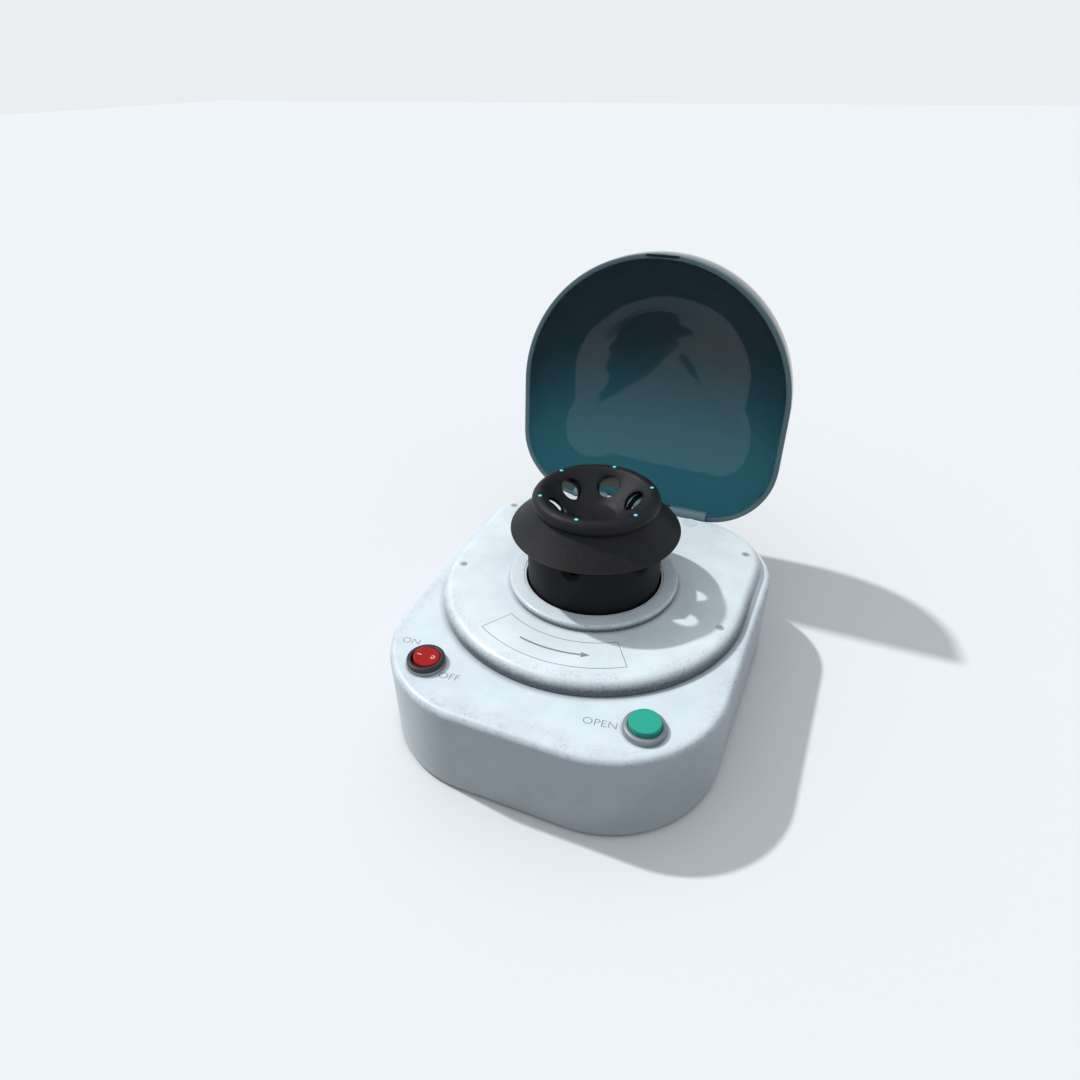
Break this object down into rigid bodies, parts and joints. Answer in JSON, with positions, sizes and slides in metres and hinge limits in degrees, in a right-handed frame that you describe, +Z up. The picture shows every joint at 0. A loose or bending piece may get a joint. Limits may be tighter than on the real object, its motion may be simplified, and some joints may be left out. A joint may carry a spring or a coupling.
{
  "type": "mini centrifuge",
  "caption": "Bench mini centrifuge: rounded white housing, raised deck, angle rotor on a drum in a collared well, hinged domed tinted lid, rocker switch and push button.",
  "frame": {"origin": "on the ground under the middle of the whole object with its lid open, in the housing's middle plane", "axes": "+Z up, front (buttons) towards -Y, lid hinge along X at the rear"},
  "size_m": [0.174, 0.2662, 0.2024],
  "materials": {
    "housing_white": "satin moulded plastic, lightly scuffed",
    "base_grey": "matt",
    "rubber": "matt",
    "steel": "satin",
    "ring_grey": "satin, worn",
    "well_grey": "matt",
    "rotor_charcoal": "fine matt",
    "marker_cyan": "gloss",
    "lid_teal": "clear tinted",
    "switch_black": "gloss",
    "rocker_red": "gloss",
    "button_green": "satin gloss",
    "board_green": "solder mask",
    "copper": "enamelled winding",
    "part_black": "matt",
    "socket_ivory": "matt",
    "aluminium": "satin",
    "wire_red": "insulation"
  },
  "bodies": {
    "housing": {"housing_shell": "housing_white", "base_plate": "base_grey", "rubber_feet": "rubber", "base_screws": "steel", "deck_plate": "housing_white", "deck_screws": "steel", "deck_plugs": "housing_white", "collar_ring": "housing_white", "rotor_well": "well_grey", "well_screws": "steel", "motor_plate": "steel", "motor_dampers": "rubber", "motor_can": "steel", "motor_magnets": "part_black", "motor_end_cap": "part_black", "shaft_bearings": "steel", "motor_screws": "steel", "hinge_bracket": "steel", "hinge_screws": "steel", "hinge_pin": "steel", "hold_magnet": "part_black", "lid_sensor": "board_green", "switch_ring": "ring_grey", "switch_bezel": "switch_black", "switch_body": "switch_black", "rocker_pin": "steel", "button_ring": "ring_grey", "button_spring": "steel", "button_body": "switch_black", "button_nut": "steel", "control_board": "board_green", "board_capacitors": "part_black", "motor_driver": "part_black", "driver_heatsink": "aluminium", "board_sockets": "socket_ivory", "board_screws": "steel", "power_inlet": "switch_black", "inlet_nut": "steel", "wire_loom": "wire_red"},
    "rotor": {"motor_shaft": "steel", "motor_armature": "copper", "rotor_hub": "aluminium", "rotor_drum": "rotor_charcoal", "rotor_body": "rotor_charcoal", "rotor_dots": "marker_cyan", "drum_screws": "steel"},
    "lid": {"lid_shell": "lid_teal", "lid_barrel": "lid_teal", "keeper_strip": "steel"},
    "rocker": {"rocker": "rocker_red"},
    "open_button": {"button_cap": "button_green"}
  },
  "joints": [
    {"name": "lid_hinge", "type": "hinge", "parent": "housing", "child": "lid", "pos_m": [0, 0.0595, 0.057], "axis": [1, 0, 0], "range_deg": [0, 95]},
    {"name": "rotor_spin", "type": "hinge", "parent": "housing", "child": "rotor", "pos_m": [0, -0.023, 0.057], "axis": [0, 0, 1], "continuous": true},
    {"name": "power_rocker", "type": "hinge", "parent": "housing", "child": "rocker", "pos_m": [-0.0535, -0.1075, 0.0495], "axis": [0, -1, 0], "range_deg": [0, 14]},
    {"name": "open_press", "type": "slide", "parent": "housing", "child": "open_button", "axis": [0, 0, -1], "range_m": [0, 0.0018], "stiffness_N_per_m": 600, "deforming": ["button_spring"]}
  ]
}
